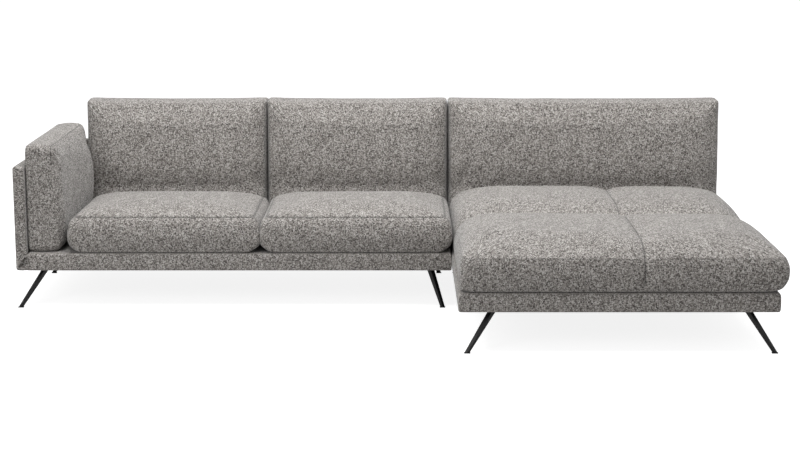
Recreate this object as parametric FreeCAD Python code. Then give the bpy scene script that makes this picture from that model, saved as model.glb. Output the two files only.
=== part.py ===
import FreeCAD, Part
import math
import os

from FreeCAD import Vector

# Sectional sofa: a two-seat section with a left arm, and a chaise section at its right.
# Millimetres, +Z up, front towards -Y. The origin is on the floor below the middle of the whole.

# Layout of the two sections
sofa_width = 1789.0
chaise_width = 1187.0
sofa_depth = 920.0
chaise_depth = 1667.0
section_gap = 3.0
pad_side_overhang = 38.0
pad_front_overhang = 12.0

# Upholstered frame band and panels
leg_height = 157.0
base_height = 73.0
panel_height = 587.0
panel_thickness = 46.0
skin = 6.0
soft_edge = 5.0
return_thickness = 2.5
return_width = 35.0
dust_thickness = 1.5
dust_inset = 12.0
lay_gap = 0.3

# Timber
rail_thickness = 45.0
rail_height = 61.0
rail_ease = 4.0
tenon_thickness = 16.0
tenon_height = 34.0
tenon_length = 22.0
tenon_clearance = 0.2
cross_rail_thickness = 32.0
cross_rail_height = 40.0
cross_rail_spacing = 600.0
block_length = 142.0
block_width = 96.0
block_height = 30.0
block_corner = 40.0
back_board = 30.0
arm_board = 34.0
board_rail = 60.0
board_post = 55.0
board_window = 520.0
window_clip = 30.0

# Webbing and deck
strap_thickness = 2.0
strap_width = 70.0
strap_pitch = 160.0
strap_landing = 12.0
cross_strap_pitch = 175.0
back_strap_width = 50.0
back_strap_pitch = 190.0

# Legs and glides
plate_size = 72.0
plate_thickness = 4.0
plate_corner = 10.0
blade_top_width = 30.0
blade_foot_width = 19.0
blade_top_fold = 9.0
blade_top_wall = 6.0
glide_height = 3.0
glide_rim = 2.0
front_plate_inset = 65.0
front_foot_inset = 15.0
rear_plate_inset = 272.0
rear_foot_inset = 222.0

# Inboard places of the plates and feet, from the outer faces of their own section
sofa_outer_plate = 109.0
sofa_outer_foot = 12.0
sofa_inner_plate = 86.0
sofa_inner_foot = 36.0
chaise_inner_plate = 130.0
chaise_inner_foot = 34.0
chaise_outer_plate = 110.0
chaise_outer_foot = 14.0

# Connectors between the sections
tongue_length = 62.0
tongue_width = 40.0
tongue_thickness = 2.5
bracket_thickness = 3.0
bracket_length = 70.0
bracket_width = 84.0
bracket_inset = 10.0
socket_clearance = 1.0
connector_inset_y = 170.0

# Cushions
cushion_gap = 2.0
seat_seam_height = 146.0
seat_crown = 38.0
seat_end_crown = 0.35
seat_front_bow = 8.0
seat_end_bow = 0.4
back_height = 551.0
back_foot_depth = 285.0
back_top_depth = 182.0
back_crown = 10.0
back_end_crown = 0.3
back_pinch = 1.5
back_ear = 9.0
back_overhang = 24.0
back_left_gap = 132.0
arm_front_inset = 20.0
arm_cushion_length = 680.0
arm_cushion_height = 438.0
arm_cushion_top = 90.0
arm_cushion_foot = 152.0
arm_top_fall = 6.0
arm_bow = 38.0
arm_rear_fade = 0.4
seat_left_gap = 169.0
pad_seam_height = 150.0
pad_crown = 60.0
pad_end_crown = 0.25
pad_left_share = 0.9
pad_groove = 9.0
pad_seam_crown = 0.3
pad_seam_tuck = 0.45
pad_seam_x = 682.0
pad_top_draw = 10.0
seam_half = 16.0
seam_fall = 14.0
core_inset = 26.0
arm_core_inset = 13.0
core_gap = 0.5
edge_round = 20.0
back_edge_round = 32.0
crown_shoulder = 0.14
bottom_round = 24.0
arm_foot_round = 38.0
crest_round = 34.0
lip_round = 12.0
ear_round = 16.0
pad_round = 26.0
groove_round = 8.0

# Turns round a cushion's end, in degrees, each with the share of the crown that it has reached
soft_turns = ((0, 0.0), (30, 0.2), (62, 0.45))
plain_turns = ((0, 0.0), (45, 0.3))

# Derived places
half_width = (sofa_width + chaise_width + pad_side_overhang) / 2
half_depth = (chaise_depth + pad_front_overhang) / 2
left_x = -half_width
seam_x = left_x + sofa_width
right_x = seam_x + chaise_width
rear_y = half_depth
sofa_front_y = rear_y - sofa_depth
chaise_front_y = rear_y - chaise_depth
base_z = leg_height
deck_z = leg_height + base_height
frame_z = base_z + dust_thickness + return_thickness
rail_top_z = frame_z + rail_height
weave_top_z = rail_top_z + 2 * strap_thickness
panel_in_y = rear_y - panel_thickness
cushion_z = deck_z + lay_gap
arm_in_x = left_x + panel_thickness
seat_rear_y = panel_in_y - back_foot_depth - cushion_gap

SOFA = dict(name="sofa", x0=arm_in_x, x1=seam_x - section_gap / 2, y0=sofa_front_y,
            plates=(sofa_outer_plate - panel_thickness, sofa_inner_plate),
            feet=(sofa_outer_foot - panel_thickness, sofa_inner_foot))
CHAISE = dict(name="chaise", x0=seam_x + section_gap / 2, x1=right_x, y0=chaise_front_y,
              plates=(chaise_inner_plate, chaise_outer_plate),
              feet=(chaise_inner_foot, chaise_outer_foot))
SECTIONS = (SOFA, CHAISE)

os.makedirs("parts", exist_ok=True)


def write_node(name, shape):
    shape.exportStep("parts/" + name + ".step")


def box(x0, x1, y0, y1, z0, z1):
    return Part.makeBox(x1 - x0, y1 - y0, z1 - z0, Vector(x0, y0, z0))


def polygon_face(points):
    return Part.Face(Part.makePolygon(points + points[:1]))


def prism(points, travel):
    return polygon_face(points).extrude(travel)


def eased_box(x0, x1, y0, y1, z0, z1, radius, wanted):
    """A box whose edges are rounded where wanted(centre of the edge) is true."""
    block = box(x0, x1, y0, y1, z0, z1)
    return block.makeFillet(radius, [edge for edge in block.Edges if wanted(edge.CenterOfMass)])


def spread(start, end, width, pitch):
    """Even places for the near edges of strips between start and end, about one pitch apart."""
    count = max(2, round((end - start - width) / pitch) + 1)
    step = (end - start - width) / (count - 1)
    return [start + step * i for i in range(count)]


# Timber frame of a section
def rail_section(across0, across1):
    """Outline (across, z) of a rail with eased long edges."""
    e = rail_ease
    return [(across0 + e, frame_z), (across1 - e, frame_z), (across1, frame_z + e),
            (across1, rail_top_z - e), (across1 - e, rail_top_z), (across0 + e, rail_top_z),
            (across0, rail_top_z - e), (across0, frame_z + e)]


def tenons(x0, x1, y0, y1, height, clearance):
    """Both tenons of a rail that runs from y0 to y1, or their mortises with clearance."""
    middle_x = (x0 + x1) / 2
    middle_z = frame_z + height / 2
    half_t = tenon_thickness / 2 + clearance
    half_h = min(tenon_height, height - 2 * rail_ease) / 2 + clearance
    reach = tenon_length + clearance
    ends = [box(middle_x - half_t, middle_x + half_t, y0 - reach, y0, middle_z - half_h, middle_z + half_h),
            box(middle_x - half_t, middle_x + half_t, y1, y1 + reach, middle_z - half_h, middle_z + half_h)]
    return Part.makeCompound(ends)


def frame_limits(section):
    return (section["x0"] + skin, section["x1"] - skin, section["y0"] + skin, rear_y - skin)


def end_rail_places(section):
    x0, x1, y0, y1 = frame_limits(section)
    return [(x0, x0 + rail_thickness), (x1 - rail_thickness, x1)]


def cross_rail_places(section):
    """Side limits of the lower cross rails, evenly spaced between the end rails."""
    x0, x1, y0, y1 = frame_limits(section)
    bays = max(2, round((x1 - x0) / cross_rail_spacing))
    centres = [x0 + (x1 - x0) * i / bays for i in range(1, bays)]
    return [(c - cross_rail_thickness / 2, c + cross_rail_thickness / 2) for c in centres]


def timber(section):
    x0, x1, y0, y1 = frame_limits(section)
    inner_y0 = y0 + rail_thickness
    inner_y1 = y1 - rail_thickness
    mortises = [tenons(a, b, inner_y0, inner_y1, rail_height, tenon_clearance)
                for a, b in end_rail_places(section)]
    mortises += [tenons(a, b, inner_y0, inner_y1, cross_rail_height, tenon_clearance)
                 for a, b in cross_rail_places(section)]
    for name, near in (("front", y0), ("rear", y1 - rail_thickness)):
        outline = [Vector(x0, across, z) for across, z in rail_section(near, near + rail_thickness)]
        rail = prism(outline, Vector(x1 - x0, 0, 0))
        write_node(section["name"] + "_" + name + "_rail", rail.cut(mortises))
    for name, (a, b) in zip(("left", "right"), end_rail_places(section)):
        outline = [Vector(across, inner_y0, z) for across, z in rail_section(a, b)]
        rail = prism(outline, Vector(0, inner_y1 - inner_y0, 0))
        rail = rail.fuse(tenons(a, b, inner_y0, inner_y1, rail_height, 0))
        write_node(section["name"] + "_" + name + "_rail", rail)
    crosses = []
    for a, b in cross_rail_places(section):
        rail = box(a, b, inner_y0, inner_y1, frame_z, frame_z + cross_rail_height)
        crosses.append(rail.fuse(tenons(a, b, inner_y0, inner_y1, cross_rail_height, 0)))
    write_node(section["name"] + "_cross_rails", Part.makeCompound(crosses))
    blocks = []
    rear_block_y = rear_y - rear_plate_inset + block_width / 2
    for cx, sx in ((x0 + rail_thickness, 1), (x1 - rail_thickness, -1)):
        for cy, sy in ((inner_y0, 1), (rear_block_y, -1)):
            shape = [(0, 0), (block_length, 0), (block_length, block_width - block_corner),
                     (block_length - block_corner, block_width), (0, block_width)]
            outline = [Vector(cx + sx * u, cy + sy * v, frame_z) for u, v in shape]
            blocks.append(prism(outline, Vector(0, 0, block_height)))
    write_node(section["name"] + "_leg_blocks", Part.makeCompound(blocks))


# Webbing and deck
def woven_strap(x0, x1, y, crossings, first_up):
    """One flat strap along X that lies on both end rails and passes over and under the crossing straps."""
    bearing = rail_thickness - strap_landing
    top = [(x0, rail_top_z + strap_thickness), (x0 + bearing, rail_top_z + strap_thickness)]
    ramp = min(crossings[1] - crossings[0] - strap_width, crossings[0] - x0 - bearing) / 3
    up = first_up
    for near in crossings:
        level = rail_top_z + (2 * strap_thickness if up else 0)
        top += [(near - ramp, level), (near + strap_width + ramp, level)]
        up = not up
    top += [(x1 - bearing, rail_top_z + strap_thickness), (x1, rail_top_z + strap_thickness)]
    outline = [Vector(x, y, z) for x, z in top]
    outline += [Vector(x, y, z - strap_thickness) for x, z in reversed(top)]
    return prism(outline, Vector(0, strap_width, 0))


def deck(section):
    x0, x1, y0, y1 = frame_limits(section)
    rear_land = rear_y - skin - back_board - lay_gap
    first_x = x0 + rail_thickness + strap_width / 2
    last_x = x1 - rail_thickness - strap_width / 2
    long_places = spread(first_x, last_x, strap_width, strap_pitch)
    lengths = [box(x, x + strap_width, y0 + strap_landing, rear_land,
                   rail_top_z, rail_top_z + strap_thickness)
               for x in long_places]
    write_node(section["name"] + "_long_webbing", Part.makeCompound(lengths))
    rows = spread(y0 + rail_thickness + strap_landing, y1 - rail_thickness - strap_landing,
                  strap_width, cross_strap_pitch)
    woven = [woven_strap(x0 + strap_landing, x1 - strap_landing, y, long_places, i % 2 == 0)
             for i, y in enumerate(rows)]
    write_node(section["name"] + "_woven_webbing", Part.makeCompound(woven))
    pad = eased_box(x0 + lay_gap, x1 - lay_gap, y0 + lay_gap, rear_land, weave_top_z, deck_z,
                    soft_edge, lambda c: c.y < y0 + 1 and abs(c.z - (weave_top_z + deck_z) / 2) < 1)
    write_node(section["name"] + "_deck_pad", pad)


# Upholstered band round the base
def mitre_corner():
    """The wedge at the front of the arm where the band runs out to the arm's outer corner."""
    points = [(left_x, base_z), (arm_in_x, base_z), (arm_in_x, base_z + panel_thickness)]
    outline = [Vector(x, sofa_front_y, z) for x, z in points]
    return prism(outline, Vector(0, skin, 0))


def base_cover(section):
    x0, x1, y0 = section["x0"], section["x1"], section["y0"]
    beside_arm = section is SOFA

    def wanted(c):
        if beside_arm and c.x < x0 + 1:
            return False
        return c.z < deck_z - 1 or c.y < y0 + 1
    outer = eased_box(x0, x1, y0, rear_y, base_z, deck_z, soft_edge, wanted)
    hollow = box(x0 + skin, x1 - skin, y0 + skin, rear_y - skin, frame_z, deck_z)
    inset = skin + return_width
    opening = box(x0 + inset, x1 - inset, y0 + inset, rear_y - inset, base_z, frame_z)
    recess = box(x0 + dust_inset, x1 - dust_inset, y0 + dust_inset, rear_y - dust_inset,
                 base_z, base_z + dust_thickness)
    cover = outer.cut([hollow, opening, recess])
    if beside_arm:
        cover = cover.fuse(mitre_corner().common(arm_outer())).removeSplitter()
    write_node(section["name"] + "_base_cover", cover)
    sheet = box(x0 + dust_inset + lay_gap, x1 - dust_inset - lay_gap, y0 + dust_inset + lay_gap,
                rear_y - dust_inset - lay_gap, base_z, base_z + dust_thickness)
    write_node(section["name"] + "_dust_cover", sheet)


# Back and arm panels
def clipped_window(x0, x1, depth, z0, z1):
    """Opening through a board, with a glue block's slope across each corner."""
    clip = window_clip
    outline = [(x0 + clip, z0), (x1 - clip, z0), (x1, z0 + clip), (x1, z1 - clip),
               (x1 - clip, z1), (x0 + clip, z1), (x0, z1 - clip), (x0, z0 + clip)]
    return prism([Vector(x, 0, z) for x, z in outline], Vector(0, depth, 0))


def board_frame(length, depth, height):
    """A ladder frame along X: rails above and below, posts between, as one glued piece."""
    frame = box(0, length, 0, depth, 0, height)
    bays = max(1, round(length / board_window))
    width = (length - board_post * (bays + 1)) / bays
    windows = []
    for i in range(bays):
        x = board_post + i * (width + board_post)
        windows.append(clipped_window(x, x + width, depth, board_rail, height - board_rail))
    return frame.cut(windows)


def back_panel(section):
    x0, x1 = section["x0"], section["x1"]
    inner0, inner1 = x0 + skin, x1 - skin
    top_z = panel_height - skin
    frame = board_frame(inner1 - inner0, back_board, top_z - rail_top_z)
    frame.translate(Vector(inner0, rear_y - skin - back_board, rail_top_z))
    write_node(section["name"] + "_back_frame", frame)
    front_y = rear_y - skin - back_board
    straps = [box(x, x + back_strap_width, front_y - strap_thickness, front_y,
                  deck_z + strap_landing, top_z - strap_landing)
              for x in spread(inner0 + board_post, inner1 - board_post, back_strap_width, back_strap_pitch)]
    write_node(section["name"] + "_back_webbing", Part.makeCompound(straps))
    beside_arm = section is SOFA
    cover = eased_box(x0, x1, panel_in_y, rear_y, deck_z, panel_height, soft_edge,
                      lambda c: c.z > deck_z + 1 and not (beside_arm and c.x < x0 + 1))
    hollow = box(inner0, inner1, panel_in_y + skin, rear_y - skin, deck_z, top_z)
    write_node(section["name"] + "_back_cover", cover.cut(hollow))


def arm_outer():
    return eased_box(left_x, arm_in_x, sofa_front_y, rear_y, base_z, panel_height, soft_edge,
                     lambda c: c.x < left_x + 1 or c.z > panel_height - 1)


def arm_panel():
    frame = board_frame(sofa_depth - 2 * skin, arm_board, panel_height - skin - frame_z)
    frame.rotate(Vector(0, 0, 0), Vector(0, 0, 1), 90)
    frame.translate(Vector(left_x + skin + arm_board, sofa_front_y + skin, frame_z))
    write_node("arm_frame", frame)
    hollow = box(left_x + skin, arm_in_x - skin, sofa_front_y + skin, rear_y - skin,
                 frame_z, panel_height - skin)
    slot = box(left_x + dust_inset, arm_in_x - dust_inset, sofa_front_y + return_width,
               rear_y - return_width, base_z, frame_z)
    write_node("arm_cover", arm_outer().cut([hollow, slot, mitre_corner()]))


# Legs
def corners(section):
    """Plate centre, foot centre and outward signs of the four legs."""
    places = []
    rows = ((-1, section["y0"] + front_plate_inset, section["y0"] + front_foot_inset),
            (1, rear_y - rear_plate_inset, rear_y - rear_foot_inset))
    for y_sign, plate_y, foot_y in rows:
        for x_sign, x_edge, plate, foot in ((-1, section["x0"], section["plates"][0], section["feet"][0]),
                                            (1, section["x1"], section["plates"][1], section["feet"][1])):
            places.append(dict(plate=(x_edge - x_sign * plate, plate_y),
                               foot=(x_edge - x_sign * foot, foot_y), sign=y_sign))
    return places


def chevron(x, y, z, width, sign):
    """Section of a folded steel blade whose ridge points outward along Y, all in proportion to its width."""
    half = width / 2
    fold = blade_top_fold * width / blade_top_width
    wall = blade_top_wall * width / blade_top_width
    points = [(-half, 0), (0, fold), (half, 0), (half, -wall), (0, fold - wall), (-half, -wall)]
    return [Vector(x + u, y + sign * v, z) for u, v in points]


def flat_sided(lower, upper):
    """A solid between two similar outlines, with one flat face along each side."""
    following = range(1, len(lower) + 1)
    sides = [polygon_face([lower[i - 1], lower[i % len(lower)], upper[i % len(lower)], upper[i - 1]])
             for i in following]
    return Part.Solid(Part.Shell([polygon_face(lower), polygon_face(upper)] + sides))


def clipped_plate(x0, x1, y0, y1, z0, z1, clip):
    """A flat plate whose four corners are clipped."""
    outline = [(x0 + clip, y0), (x1 - clip, y0), (x1, y0 + clip), (x1, y1 - clip),
               (x1 - clip, y1), (x0 + clip, y1), (x0, y1 - clip), (x0, y0 + clip)]
    return prism([Vector(x, y, z0) for x, y in outline], Vector(0, 0, z1 - z0))


def leg(corner):
    x, y = corner["plate"]
    half = plate_size / 2
    plate_z = base_z - plate_thickness
    plate = clipped_plate(x - half, x + half, y - half, y + half, plate_z, base_z, plate_corner)
    foot_x, foot_y = corner["foot"]
    blade = flat_sided(chevron(foot_x, foot_y, glide_height, blade_foot_width, corner["sign"]),
                       chevron(x, y, plate_z, blade_top_width, corner["sign"]))
    return plate.fuse(blade)


def glide(corner):
    """A moulded foot under the blade, with a small rim round it."""
    x, y = corner["foot"]
    taper = blade_foot_width / blade_top_width
    half_x = blade_foot_width / 2 + glide_rim
    inward = y - corner["sign"] * (blade_top_wall * taper + glide_rim)
    outward = y + corner["sign"] * (blade_top_fold * taper + glide_rim)
    y0, y1 = sorted((inward, outward))
    return clipped_plate(x - half_x, x + half_x, y0, y1, 0, glide_height, glide_rim)


def legs(section):
    for i, corner in enumerate(corners(section), 1):
        write_node(section["name"] + "_leg_" + str(i), leg(corner))
    write_node(section["name"] + "_glides", Part.makeCompound([glide(c) for c in corners(section)]))


def connectors():
    """Tongues on the chaise section that slide into hat-shaped sockets on the other section."""
    tongues = []
    sockets = []
    for y in (sofa_front_y + connector_inset_y, rear_y - connector_inset_y):
        plate_x = CHAISE["x0"] + bracket_inset
        half = bracket_width / 2
        plate = clipped_plate(plate_x, plate_x + bracket_length, y - half, y + half,
                              base_z - bracket_thickness, base_z, plate_corner)
        tip_x = SOFA["x1"] - tongue_length
        shoulder = tongue_width / 2
        lead = tongue_width / 4
        outline = [(plate_x + plate_corner, -shoulder), (tip_x + lead, -shoulder), (tip_x, -lead),
                   (tip_x, lead), (tip_x + lead, shoulder), (plate_x + plate_corner, shoulder)]
        tongue = prism([Vector(u, y + v, base_z - bracket_thickness) for u, v in outline],
                       Vector(0, 0, tongue_thickness))
        tongues.append(plate.fuse(tongue))
        inner = shoulder + socket_clearance
        roof = bracket_thickness + socket_clearance
        wall = bracket_thickness
        hat = [(-half, 0), (-half, -wall), (-inner - wall, -wall), (-inner - wall, -roof - wall),
               (inner + wall, -roof - wall), (inner + wall, -wall), (half, -wall), (half, 0),
               (inner, 0), (inner, -roof), (-inner, -roof), (-inner, 0)]
        start = SOFA["x1"] - bracket_inset - bracket_length
        outline = [Vector(start, y + v, base_z + z) for v, z in hat]
        sockets.append(prism(outline, Vector(bracket_length, 0, 0)))
    write_node("chaise_tongues", Part.makeCompound(tongues))
    write_node("sofa_sockets", Part.makeCompound(sockets))


# Cushions
def soft_outline(corner_points, radii, bows, place):
    """Closed wire through rounded corners, its sides bowed outward.

    corner_points are (u, v) anticlockwise, radii belong to the corners, and bows to the sides
    that follow them. place turns (u, v) into a point in space.
    """
    count = len(corner_points)
    points = [Vector(u, v, 0) for u, v in corner_points]
    leaves = []
    enters = []
    middles = []
    for i, here in enumerate(points):
        to_last = (points[i - 1] - here).normalize()
        to_next = (points[(i + 1) % count] - here).normalize()
        half_angle = to_last.getAngle(to_next) / 2
        inward = (to_last + to_next).normalize()
        enters.append(here + to_last * radii[i])
        leaves.append(here + to_next * radii[i])
        middles.append(here + inward * radii[i] * (1 - math.sin(half_angle)) / math.cos(half_angle))
    edges = []
    for i in range(count):
        start, end = leaves[i], enters[(i + 1) % count]
        along = end - start
        outward = Vector(along.y, -along.x, 0).normalize()
        crest = (start + end) * 0.5 + outward * bows[i]
        if bows[i]:
            edges.append(Part.Arc(place(start), place(crest), place(end)).toShape())
        else:
            edges.append(Part.LineSegment(place(start), place(end)).toShape())
        last = (i + 1) % count
        edges.append(Part.Arc(place(enters[last]), place(middles[last]), place(leaves[last])).toShape())
    return Part.Wire(edges)


def stations(start, end, rounding, turns=soft_turns):
    """Places along a cushion, each with how far it is drawn in and how full its crown is."""
    shoulder = crown_shoulder * (end - start)
    rises = []
    for degrees, fullness in turns:
        turn = math.radians(degrees)
        rises.append((rounding * (1 - math.cos(turn)), rounding * (1 - math.sin(turn)), fullness))
    rises.append((shoulder, 0.0, 1.0))
    near = [(start + along, inset, fullness) for along, inset, fullness in rises]
    far = [(end - along, inset, fullness) for along, inset, fullness in reversed(rises)]
    return near + far


def swell(end_share, fullness):
    """Share of a full crown or bow, from end_share where a cushion is drawn in to 1 where it is full."""
    return end_share + (1 - end_share) * fullness


def loft(wires):
    return Part.makeLoft(wires, True, True)


def cushion_nodes(name, form, core_box):
    """A sewn cover round a foam block that is cut a little smaller than its pocket."""
    x0, x1, y0, y1, z0, z1 = core_box
    write_node(name + "_cover", form.cut(box(x0, x1, y0, y1, z0, z1)))
    g = core_gap
    write_node(name + "_core", box(x0 + g, x1 - g, y0 + g, y1 - g, z0 + g, z1 - g))


def seat_cushion(name, x0, x1):
    front_y = sofa_front_y + seat_front_bow
    rear = seat_rear_y
    top_z = cushion_z + seat_seam_height
    wires = []
    for x, inset, fullness in stations(x0, x1, edge_round):
        points = [(front_y + inset, cushion_z), (rear - inset, cushion_z),
                  (rear - inset, top_z - inset / 2), (front_y + inset, top_z - inset / 2)]
        bows = [0, 0, seat_crown * swell(seat_end_crown, fullness),
                seat_front_bow * swell(seat_end_bow, fullness)]
        radii = (bottom_round, bottom_round, crest_round, lip_round)
        wires.append(soft_outline(points, radii, bows, lambda p, x=x: Vector(x, p.x, p.y)))
    core = (x0 + core_inset, x1 - core_inset, front_y + core_inset, rear - core_inset,
            cushion_z + core_inset, top_z - core_inset / 2)
    cushion_nodes(name, loft(wires), core)


def back_cushion(name, x0, x1):
    rear = panel_in_y - cushion_gap - lay_gap
    foot_y = seat_rear_y + cushion_gap
    shoulder_y = panel_in_y - back_top_depth
    top_z = cushion_z + back_height
    wires = []
    for x, inset, fullness in stations(x0, x1, back_edge_round):
        pinch = inset * back_pinch
        lift = back_ear * (1 - fullness)
        points = [(foot_y + pinch, cushion_z + inset), (rear - pinch, cushion_z + inset),
                  (rear - pinch, top_z - back_ear + lift), (shoulder_y + pinch, top_z - back_ear + lift)]
        bows = [0, 0, 0, back_crown * swell(back_end_crown, fullness)]
        radii = (bottom_round, bottom_round, crest_round, crest_round)
        wires.append(soft_outline(points, radii, bows, lambda p, x=x: Vector(x, p.x, p.y)))
    core = (x0 + 2 * core_inset, x1 - 2 * core_inset, shoulder_y + core_inset, rear - core_inset,
            cushion_z + core_inset, top_z - 2 * core_inset)
    cushion_nodes(name, loft(wires), core)


def arm_cushion():
    """The cushion inside the arm panel, widest at its foot and slimmer where the back begins."""
    outer_x = arm_in_x + cushion_gap
    y0 = sofa_front_y + arm_front_inset
    y1 = y0 + arm_cushion_length
    top_z = cushion_z + arm_cushion_height
    wires = []
    for y, inset, _ in stations(y0, y1, edge_round, plain_turns):
        behind_seat = y > y1 - arm_cushion_length / 2
        fade = arm_rear_fade if behind_seat else 1
        foot_x = outer_x + arm_cushion_top + (arm_cushion_foot - arm_cushion_top) * fade - inset
        points = [(outer_x + inset / 2, cushion_z), (foot_x, cushion_z),
                  (outer_x + arm_cushion_top - inset, top_z - inset / 2 - arm_top_fall),
                  (outer_x + inset / 2, top_z - inset / 2)]
        bows = [0, arm_bow * fade, 0, 0]
        radii = (ear_round, arm_foot_round, ear_round, ear_round)
        wires.append(soft_outline(points, radii, bows, lambda p, y=y: Vector(p.x, y, p.y)))
    core = (outer_x + arm_core_inset, outer_x + arm_cushion_top - arm_core_inset, y0 + core_inset,
            y1 - core_inset, cushion_z + core_inset, top_z - core_inset)
    cushion_nodes("arm_cushion", loft(wires), core)


def pad_stations(y0, join, y1):
    """Places along the chaise pad: its ends are drawn in, and its top falls to the cross seam."""
    front = stations(y0, join, edge_round)[:-len(soft_turns)]
    rear = stations(join, y1, edge_round, plain_turns)[len(plain_turns):]
    seam = [(join - seam_half, 0.0, pad_seam_tuck, pad_seam_crown),
            (join, 0.0, 1.0, 0.0),
            (join + seam_half, 0.0, pad_seam_tuck, pad_seam_crown)]
    return ([(y, inset, 0.0, full) for y, inset, full in front] + seam
            + [(y, inset, 0.0, full) for y, inset, full in rear])


def chaise_pad():
    """One pad with four plump quarters: a long seam runs through the loft, a cross seam divides it."""
    x0 = CHAISE["x0"] + cushion_gap
    y0 = chaise_front_y - pad_front_overhang
    join = sofa_front_y
    y1 = seat_rear_y
    split = x0 + pad_seam_x
    wires = []
    for y, inset, groove, fullness in pad_stations(y0, join, y1):
        top_z = cushion_z + pad_seam_height - inset
        low = seam_fall * groove
        left = x0 + inset
        right = right_x - inset
        points = [(left, cushion_z), (right, cushion_z), (right - pad_top_draw, top_z - low),
                  (split, top_z - pad_groove - low), (left + pad_top_draw, top_z - low)]
        bulge = (pad_side_overhang + pad_top_draw / 2) * (1 - pad_seam_crown * groove)
        rise = pad_crown * swell(pad_end_crown, fullness)
        bows = [0, bulge, rise * pad_left_share, rise, 0]
        radii = (bottom_round, lip_round, pad_round, groove_round, pad_round)
        wires.append(soft_outline(points, radii, bows, lambda p, y=y: Vector(p.x, y, p.y)))
    core = (x0 + core_inset, right_x - core_inset, y0 + core_inset, y1 - core_inset,
            cushion_z + core_inset, cushion_z + pad_seam_height - core_inset)
    cushion_nodes("chaise_pad", loft(wires), core)


for section in SECTIONS:
    timber(section)
    deck(section)
    base_cover(section)
    back_panel(section)
    legs(section)
arm_panel()
connectors()

arm_cushion()
seat_x0 = arm_in_x + seat_left_gap
seat_middle = (seat_x0 + SOFA["x1"]) / 2
seat_cushion("seat_cushion_left", seat_x0, seat_middle - cushion_gap / 2)
seat_cushion("seat_cushion_right", seat_middle + cushion_gap / 2, SOFA["x1"] - cushion_gap / 2)
back_x0 = arm_in_x + back_left_gap
back_middle = (back_x0 + SOFA["x1"]) / 2
back_cushion("back_cushion_left", back_x0, back_middle - cushion_gap / 2)
back_cushion("back_cushion_middle", back_middle + cushion_gap / 2, SOFA["x1"] - cushion_gap / 2)
back_cushion("back_cushion_right", CHAISE["x0"] + cushion_gap / 2, right_x + back_overhang)
chaise_pad()
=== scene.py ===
# %% [markdown]
# A sectional sofa: a two-seat section with one arm, and a chaise section beside it.
# The construction is already there as a fixed frame of timber, webbing and steel.
# This script dresses it: sewn cushions, fitted covers, cloth, steel and timber finishes, light and camera.
# The frame comes first, because every soft piece takes its size and place from it.

# %% Load the frame
import bpy
import math
import numpy as np
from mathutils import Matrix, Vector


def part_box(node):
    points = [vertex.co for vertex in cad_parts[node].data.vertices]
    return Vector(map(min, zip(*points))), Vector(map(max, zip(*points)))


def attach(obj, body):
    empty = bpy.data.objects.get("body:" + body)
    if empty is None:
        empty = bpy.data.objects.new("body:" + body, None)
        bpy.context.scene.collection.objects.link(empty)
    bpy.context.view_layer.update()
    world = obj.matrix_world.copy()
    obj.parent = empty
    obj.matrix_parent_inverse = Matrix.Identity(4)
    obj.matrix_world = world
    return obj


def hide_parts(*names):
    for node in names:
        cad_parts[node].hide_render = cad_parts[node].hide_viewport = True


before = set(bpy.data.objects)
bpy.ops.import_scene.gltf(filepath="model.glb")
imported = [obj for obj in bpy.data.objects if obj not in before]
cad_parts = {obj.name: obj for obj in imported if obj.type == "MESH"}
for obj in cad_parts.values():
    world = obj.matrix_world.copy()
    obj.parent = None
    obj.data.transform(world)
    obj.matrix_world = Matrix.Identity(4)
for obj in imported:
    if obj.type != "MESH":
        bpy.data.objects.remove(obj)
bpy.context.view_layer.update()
MM = 0.001
scene = bpy.context.scene

# %% [markdown]
# A photograph of furniture is usually taken from far away with a long lens, so the lines stay calm.
# The lens and the tilt were worked out from points whose sizes are known, such as the legs and seams.
# The camera stands almost seven metres in front of the sofa, a little above eye height of a seated person.

# %% Camera at the photograph's place
camera_data = bpy.data.cameras.new("camera")
camera_data.sensor_width = 36.0
camera_data.lens = 76.44
camera = bpy.data.objects.new("camera", camera_data)
camera.location = (0.069, -6.9052, 1.5934)
camera.rotation_euler = (math.pi / 2 - 0.1805, 0.0, 0.0)
scene.collection.objects.link(camera)
scene.camera = camera

# %% [markdown]
# Colours are picked from the photograph as sRGB hex values, as any paint program shows them.
# The renderer works in linear light, so one function turns them over.
# One small function adds a node with its settings and links, and every material below uses it.

# %% Colour and node helpers
def linear(hex_colour):
    """sRGB to linear light: below 0.04045 divide by 12.92, above it ((c + 0.055) / 1.055) ** 2.4."""
    channels = [int(hex_colour[i:i + 2], 16) / 255 for i in (1, 3, 5)]
    return [c / 12.92 if c <= 0.04045 else ((c + 0.055) / 1.055) ** 2.4 for c in channels] + [1.0]


def add_node(tree, kind, settings=(), inputs=(), **links):
    """One node of a kind, its settings and input values, and links from input name to output socket."""
    node = tree.nodes.new(kind)
    for name, value in dict(settings).items():
        setattr(node, name, value)
    for name, value in dict(inputs).items():
        node.inputs[name].default_value = value
    for name, socket in links.items():
        tree.links.new(socket, node.inputs[int(name[1:]) if name[0] == "i" and name[1:].isdigit() else name])
    return node


def new_material(name, inputs):
    """A material with one shader, whose plain values are set on the shader's own sockets."""
    material = bpy.data.materials.new(name)
    material.use_nodes = True
    shader = material.node_tree.nodes["Principled BSDF"]
    for socket, value in inputs.items():
        shader.inputs[socket].default_value = value
    return material, material.node_tree, shader

# %% [markdown]
# The upholstery is a chunky melange weave: nubby yarns of light, mid and dark grey-taupe
# that lie in short floats, some along the cloth and some across it.
# Two sets of long thin cells stand for the floats, each cell with its own shade,
# and a soft noise decides where the lengthwise set shows and where the crosswise one does.
# The real yarn is about 2.5 mm thick. It is drawn at 2.8 mm, so that single floats show from seven
# metres away.

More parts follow.
